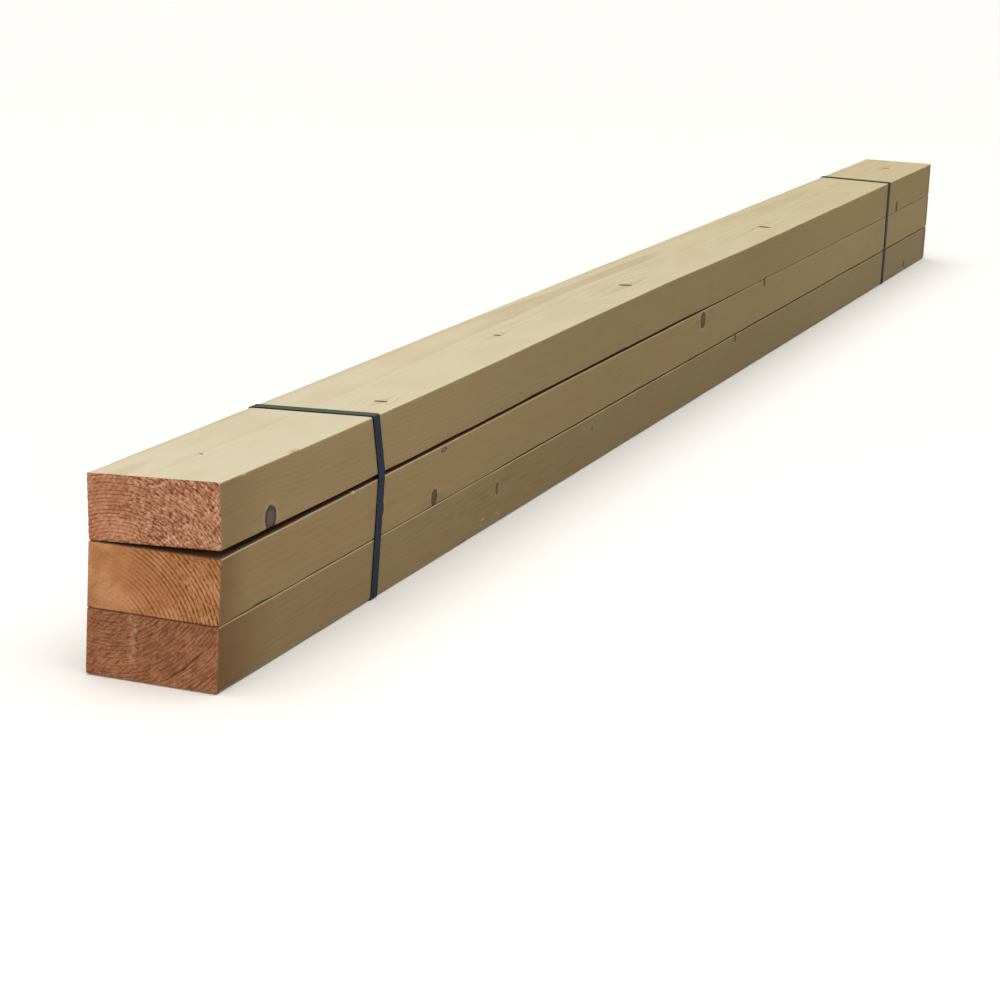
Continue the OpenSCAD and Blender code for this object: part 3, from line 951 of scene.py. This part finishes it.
# %% [markdown]
# ## The straps
#
# A packing strap is a flat plastic band, pulled tight round the studs by a machine and welded to
# itself where its ends overlap. Pulled tight, it takes the shortest way round, so it bends only
# where it meets an outer edge and spans any hollow between. That route is the convex outline of
# the studs' edges where the strap lies.
#
# The route becomes a guide line with an outward direction at each point. A Geometry Nodes tree
# wraps a gridded cube along it: long, thin, embossed on its outer face with the small diamonds
# that such a band gets from its rollers, and pressed into ribs where it is welded.

# %% The strap's route
STRAPS = ["near_strap", "far_strap"]
strap_width, strap_thickness, strap_clearance = 12 * MM, 0.7 * MM, 0.15 * MM
lap_length, lap_ramp, lap_sink = 60 * MM, 8 * MM, 0.02 * MM
weld_start, weld_end = 16 * MM, 44 * MM  # from where the lap starts
point_step, bend_step = 2.5 * MM, math.radians(7)


def convex_outline(points):
    """The corners of the tightest loop round the points, counter-clockwise."""
    points = sorted({(round(float(y), 7), round(float(z), 7)) for y, z in points})
    halves = []
    for row in (points, points[::-1]):
        chain = []
        for p in row:
            while len(chain) > 1:
                (ay, az), (by, bz) = chain[-2], chain[-1]
                if (by - ay) * (p[1] - az) - (bz - az) * (p[0] - ay) > 1e-12:
                    break
                chain.pop()
            chain.append(p)
        halves += chain[:-1]
    return np.array(halves)


def strap_route(node):
    """Points (x, y, z) and outward directions along one strap, and its length without the lap."""
    strap = np.array([v.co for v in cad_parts[node].data.vertices])
    station = (strap[:, 0].min() + strap[:, 0].max()) / 2
    centres = []
    for rows in spines.values():
        y, z, lean = (np.interp(station, rows[:, 0], rows[:, i]) for i in (1, 2, 3))
        turn = np.array([[math.cos(lean), -math.sin(lean)], [math.sin(lean), math.cos(lean)]])
        for side_y, side_z in ((1, 1), (1, -1), (-1, 1), (-1, -1)):
            corner = side_y * (stud_width / 2 - edge_radius), side_z * (stud_thickness / 2 - edge_radius)
            centres.append(turn @ corner + (y, z))
    corners = convex_outline(centres)
    reach = edge_radius + strap_clearance + strap_thickness / 2
    loop, outward = [], []
    for i, corner in enumerate(corners):
        before, after = corner - corners[i - 1], corners[(i + 1) % len(corners)] - corner
        first, last = (math.atan2(-v[0], v[1]) for v in (before, after))
        bend = (last - first) % math.tau
        steps = max(2, round(bend / bend_step))
        for step in range(steps + 1):
            turn = first + bend * step / steps
            outward.append((math.cos(turn), math.sin(turn)))
            loop.append(corner + reach * np.array(outward[-1]))
    loop, outward = np.array(loop), np.array(outward)

    # Start the loop half a lap below the middle of the +Y side, and place points at even steps
    closed = np.vstack((loop, loop[:1]))
    normals = np.vstack((outward, outward[:1]))
    run = np.concatenate(([0], np.cumsum(np.hypot(*np.diff(closed, axis=0).T))))
    length = run[-1]
    fine = np.linspace(0, length, 4000)
    fine_y, fine_z = (np.interp(fine, run, closed[:, i]) for i in (0, 1))
    middle_z = (strap[:, 2].min() + strap[:, 2].max()) / 2
    off_foot = np.where(fine_y > 0, np.abs(fine_z - (middle_z - lap_length / 2)), math.inf)
    lap_foot = fine[np.argmin(off_foot)]
    stops = np.union1d(np.arange(0, length + lap_length, point_step), (run - lap_foot) % length)
    stops = np.union1d(stops, [length + lap_length])
    turned = (stops + lap_foot) % length
    places = np.stack([np.interp(turned, run, closed[:, i]) for i in (0, 1)], 1)
    facing = np.stack([np.interp(turned, run, normals[:, i]) for i in (0, 1)], 1)
    facing /= np.linalg.norm(facing, axis=1)[:, None]
    layer = np.clip((stops - length + lap_ramp) / lap_ramp, 0, 1)
    layer = layer * layer * (3 - 2 * layer) * (strap_thickness - lap_sink)
    places = places + facing * layer[:, None]

    # The sideways slip comes from the construction model's own corners
    nearest = [np.argmin((fine_y - y) ** 2 + (fine_z - z) ** 2) for y, z in strap[:, 1:]]
    slip_at = {k: strap[np.array(nearest) == k, 0].mean() for k in set(nearest)}
    keys = sorted(slip_at)
    slips = np.interp(turned, fine[keys], [slip_at[k] for k in keys], period=length)
    points = np.column_stack((slips, places))
    return points, np.column_stack((np.zeros(len(facing)), facing)), length


# %% [markdown]
# ### The band
#
# The same trick as for the studs: a cube of side 2, stretched so that x runs along the strap, y
# across it and z through it, then moved onto the guide line. The embossing presses the outer face
# in by a tenth of a millimetre, and the weld has ribs across it.

# %% The strap tree
tree, given = geometry_tree("strap_by_rule", {
    "Route": "NodeSocketObject", "Length": 0.5, "Width": strap_width, "Thickness": strap_thickness,
    "Cuts along": 1000, "Cuts across": 33, "Diamond pitch": 2.2 * MM, "Emboss depth": 0.12 * MM,
    "Weld start": 0.47, "Weld end": 0.5, "Rib pitch": 1.6 * MM, "Plastic": "NodeSocketMaterial",
})
cube = add(tree, "GeometryNodeMeshCube", {
    "Size": (2, 2, 2), "Vertices X": given["Cuts along"],
    "Vertices Y": given["Cuts across"], "Vertices Z": 2,
})
unit_place = add(tree, "GeometryNodeInputPosition")
unit_x, unit_y, unit_z = add(tree, SEPARATE, (unit_place,), out=None).outputs
half_length = add(tree, MATH, (given["Length"], 0.5), **TIMES)
along = add(tree, MATH, (unit_x, half_length, half_length), **TIMES_PLUS)
half_width = add(tree, MATH, (given["Width"], 0.5), **TIMES)
across = add(tree, MATH, (unit_y, half_width), **TIMES)

waves = []
for direction in (1.0, -1.0):
    slant = add(tree, MATH, (across, direction, along), **TIMES_PLUS)
    turns = add(tree, MATH, (slant, given["Diamond pitch"]), **DIVIDED)
    turns = add(tree, MATH, (turns, math.pi), **TIMES)
    waves.append(add(tree, MATH, (turns,), operation="SINE"))
diamonds = add(tree, MATH, waves, **TIMES)
diamonds = add(tree, MATH, (diamonds,), operation="ABSOLUTE")
rib_turns = add(tree, MATH, (along, given["Rib pitch"]), **DIVIDED)
rib_turns = add(tree, MATH, (rib_turns, math.tau), **TIMES)
ribs = add(tree, MATH, (rib_turns,), operation="SINE")
ribs = add(tree, MATH, (ribs, 1.0, 1.0), **TIMES_PLUS)
after_start = add(tree, MATH, (along, given["Weld start"]), operation="GREATER_THAN")
before_end = add(tree, MATH, (along, given["Weld end"]), operation="LESS_THAN")
in_weld = add(tree, MATH, (after_start, before_end), **TIMES)
press = add(tree, MIX, {"Factor": in_weld, "A": diamonds, "B": ribs}, out="Result")
margin = add(tree, MATH, (unit_y,), operation="ABSOLUTE")
margin = add(tree, REMAP, (margin, 0.96, 0.88))
outer_face = add(tree, MATH, (unit_z, 0.0), operation="GREATER_THAN")
embossed = add(tree, MATH, (margin, outer_face), **TIMES)
press = add(tree, MATH, (press, embossed), **TIMES)
press = add(tree, MATH, (press, given["Emboss depth"]), **TIMES)
through = add(tree, MATH, (given["Thickness"], 0.5), **TIMES)
through = add(tree, MATH, (unit_z, through), **TIMES)
through = add(tree, MATH, (through, press), **MINUS)

route = add(tree, "GeometryNodeObjectInfo", {"Object": given["Route"]}, out="Geometry")
route = add(tree, "GeometryNodeMeshToCurve", {"Mesh": route})
outward = add(tree, "GeometryNodeInputNamedAttribute", {"Name": "outward"}, data_type="FLOAT_VECTOR")
found = add(tree, "GeometryNodeSampleCurve", {"Curves": route, "Value": outward, "Length": along},
            mode="LENGTH", data_type="FLOAT_VECTOR", out=None)
lifted = add(tree, VECTOR, {0: found.outputs["Value"], "Scale": through}, operation="SCALE")
lifted = add(tree, VECTOR, (found.outputs["Position"], lifted), **PLUS)
place = add(tree, VECTOR, (lifted, add(tree, COMBINE, (across,))), **PLUS)
_, _, upward = add(tree, SEPARATE, (found.outputs["Value"],), out=None).outputs
band = add(tree, COMBINE, (along, across, upward))
remembered = cube
for label, kind, value in (("band", "FLOAT_VECTOR", band), ("skin", "FLOAT", unit_z)):
    remembered = add(tree, "GeometryNodeStoreNamedAttribute", {
        "Geometry": remembered, "Name": label, "Value": value,
    }, data_type=kind, domain="POINT")
wrapped = add(tree, "GeometryNodeSetPosition", {"Geometry": remembered, "Position": place})
strap_tree = tree
finish_tree(strap_tree, wrapped, given["Plastic"], 50)

# %% [markdown]
# ### Rolled polypropylene
#
# Packing strap is polypropylene, drawn through rollers. It is a dull blue-grey with a soft sheen.
# The top run is painted paler and greener where it faces up, as painted light from above.

# %% The strap material
strap_plastic = bpy.data.materials.new("rolled_polypropylene")
strap_plastic.use_nodes = True
tree = strap_plastic.node_tree
shader = tree.nodes["Principled BSDF"]
band = add(tree, "ShaderNodeAttribute", attribute_name="band", out="Vector")
_, across_band, upward = add(tree, SEPARATE, (band,), out=None).outputs
scuffs = add(tree, NOISE, {
    "Vector": add(tree, VECTOR, (band, (1 / (25 * MM), 1 / (1.5 * MM), 0)), **TIMES),
    "Scale": 1.0, "Detail": 4.0, "Roughness": 0.65,
})
across_band = add(tree, MATH, (across_band,), operation="ABSOLUTE")
half_band = strap_width / 2
# Painted light: paler and greener where the band faces up; the edges keep the dark base as painted shade
inside = add(tree, REMAP, (across_band, half_band - 0.6 * MM, half_band - 1.8 * MM), **SOFT)
colour = "142c40"
for amount, paler in (
    (add(tree, REMAP, (upward, 0.2, 0.9), **SOFT), "505840"),
    (add(tree, REMAP, (scuffs, 0.48, 0.75, 0.0, 0.2), **SOFT), "6b7264"),
):
    amount = add(tree, MATH, (amount, inside), **TIMES)
    colour = add(tree, MIX, {"Factor": amount, "A": colour, "B": paler}, **COLOURS)
tree.links.new(colour, shader.inputs["Base Color"])
tree.links.new(add(tree, REMAP, (scuffs, 0.3, 0.7, 0.38, 0.6)), shader.inputs["Roughness"])
shader.inputs["IOR"].default_value = 1.49
shader.inputs["Specular IOR Level"].default_value = 0.05

# %% Make the straps
straps = {}
for node in STRAPS:
    points, outward, length = strap_route(node)
    straps[node] = run_tree(node + "_band", strap_tree, {
        "Route": guide_line(node + "_route", points, outward=outward), "Length": length + lap_length,
        "Weld start": length + weld_start, "Weld end": length + weld_end, "Plastic": strap_plastic,
    })
    print(node, "is", round((length + lap_length) / MM), "mm long")

# %% [markdown]
# ## A flat map for each piece
#
# Other programs can't run these materials, so each one has to be painted onto a flat image. A stud
# is far too long and thin for a square image, and would be squeezed until its grain is lost. So we
# unroll it ourselves. The four long faces lie side by side like an opened carton, cut into three
# rows of 800 mm, and the two ends stand beside them four times larger, because they hold the
# finest detail. A strap is unrolled in four rows. The export looks for a map with this name.

# %% Helpers for the maps
MAP_NAME = "OFBake"


def mean_per_face(mesh, values):
    """The mean, over each face's corners, of values given for each point."""
    corners = np.empty(len(mesh.loops), int)
    mesh.loops.foreach_get("vertex_index", corners)
    starts = np.empty(len(mesh.polygons), int)
    mesh.polygons.foreach_get("loop_start", starts)
    counts = np.diff(np.append(starts, len(corners)))
    means = np.add.reduceat(values[corners], starts) / counts.reshape(-1, *[1] * (values.ndim - 1))
    return corners, np.repeat(np.arange(len(counts)), counts), means


def read_points(mesh, name, width):
    """A point attribute as an array, in millimetres where it holds lengths."""
    values = np.empty(len(mesh.vertices) * width)
    field = "vector" if width == 3 else "value"
    mesh.attributes[name].data.foreach_get(field, values)
    return values.reshape(-1, width) / MM if width == 3 else values


def store_map(mesh, places, size):
    """Writes corner places, in millimetres, as the map of a square image with this side."""
    layer = mesh.uv_layers.new(name=MAP_NAME)
    layer.uv.foreach_set("vector", (places / size).astype(np.float32).ravel())
    covered = places.max(0) / size
    print(mesh.name, "map covers", covered.round(2), "of its image")


# %% Unroll the studs
ROW, ROWS, ROW_GAP, START, FOOT = 800, 3, 6, 10, 2
END_SCALE, END_GAP, IMAGE_EDGE = 4, 30, 4
CRACK_REACH, CRACK_SKIN, CRACK_SCALE, CRACK_FOOT = 20, 1.5, 0.7, 780
half_wide, thick = stud_width / 2 / MM, stud_thickness / MM
row_pitch = 2 * (2 * half_wide + thick) + ROW_GAP
for node, piece in studs.items():
    mesh = piece.data
    grain_at = read_points(mesh, "grain", 3)
    corners, face_of, centres = mean_per_face(mesh, grain_at)
    normals = np.empty(len(mesh.polygons) * 3)
    mesh.polygons.foreach_get("normal", normals)
    normals = normals.reshape(-1, 3)[face_of]
    centre = centres[face_of]
    along, across, up = grain_at[corners].T

    # Round the stud: narrow face, top, other narrow face, underside
    upright = np.abs(normals[:, 1]) > np.abs(normals[:, 2])
    round_stud = np.select(
        [upright & (normals[:, 1] < 0), ~upright & (normals[:, 2] > 0), upright],
        [up, thick + half_wide + across, 2 * half_wide + 2 * thick - up],
        3 * half_wide + 2 * thick - across,
    )
    row = np.clip(centre[:, 0] // ROW, 0, ROWS - 1)
    places = np.column_stack((START + along - row * ROW, FOOT + round_stud + row * row_pitch))

    # The ends, turned upright beside the rows, and the walls of the crack above them
    beside = ROW + END_GAP
    is_end = np.abs(normals[:, 0]) > FACING_END
    is_far = centre[:, 0] > 1.5 * ROW
    end_row = is_far * (2 * END_SCALE * half_wide + ROW_GAP)
    end_up = FOOT + END_SCALE * (across + half_wide) + end_row
    end_places = np.column_stack((beside + END_SCALE * up, end_up))
    places = np.where(is_end[:, None], end_places, places)
    depth = np.minimum(half_wide - np.abs(centre[:, 1]), np.minimum(centre[:, 2], thick - centre[:, 2]))
    in_crack = (depth > CRACK_SKIN) & ~is_end & (along < CRACK_REACH)
    crack_up = CRACK_FOOT + CRACK_SCALE * (across + half_wide)
    crack_places = np.column_stack((beside + END_SCALE * along, crack_up))
    places = np.where(in_crack[:, None], crack_places, places)
    store_map(mesh, places, beside + END_SCALE * thick + IMAGE_EDGE)

# %% Unroll the straps
STRAP_ROWS, STRAP_PITCH, GAP = 4, 30, 1
for node, piece in straps.items():
    mesh = piece.data
    band_at = read_points(mesh, "band", 3)
    skin = read_points(mesh, "skin", 1)
    corners, face_of, centres = mean_per_face(mesh, np.column_stack((band_at, skin)))
    along, across, _ = band_at[corners].T
    through = skin[corners]
    _, side, _, layer = centres[face_of].T
    wide, thick = strap_width / MM, strap_thickness / MM

    # Outer face, then the inner one, then the two thin edges
    is_edge = np.abs(layer) < 0.5
    round_strap = np.where(layer > 0, across + wide / 2, 1.5 * wide + GAP - across)
    edge_foot = np.where(side > 0, 2 * wide + 2 * GAP, 2 * wide + thick + 3 * GAP)
    round_strap = np.where(is_edge, edge_foot + (through + 1) * thick / 2, round_strap)
    row_length = band_at[:, 0].max() / STRAP_ROWS
    row = np.clip(centres[face_of, 0] // row_length, 0, STRAP_ROWS - 1)
    places = np.column_stack((GAP + along - row * row_length, GAP + round_strap + row * STRAP_PITCH))
    store_map(mesh, places, row_length + 3 * GAP)

# %% [markdown]
# ## Hand over to the frame
#
# Each finished piece rides on the one body and takes the place of its construction solid, which is
# hidden. The two boxes are printed, so that one can see that nothing grew.

# %% Ride, replace, measure
for node, piece in {**studs, **straps}.items():
    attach(piece, "root")
    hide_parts(node)

visual_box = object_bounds()
for label, corners in (("construction", cad_box), ("visual", visual_box)):
    print(label, [tuple(round(c / MM, 3) for c in corner) for corner in corners], "mm")
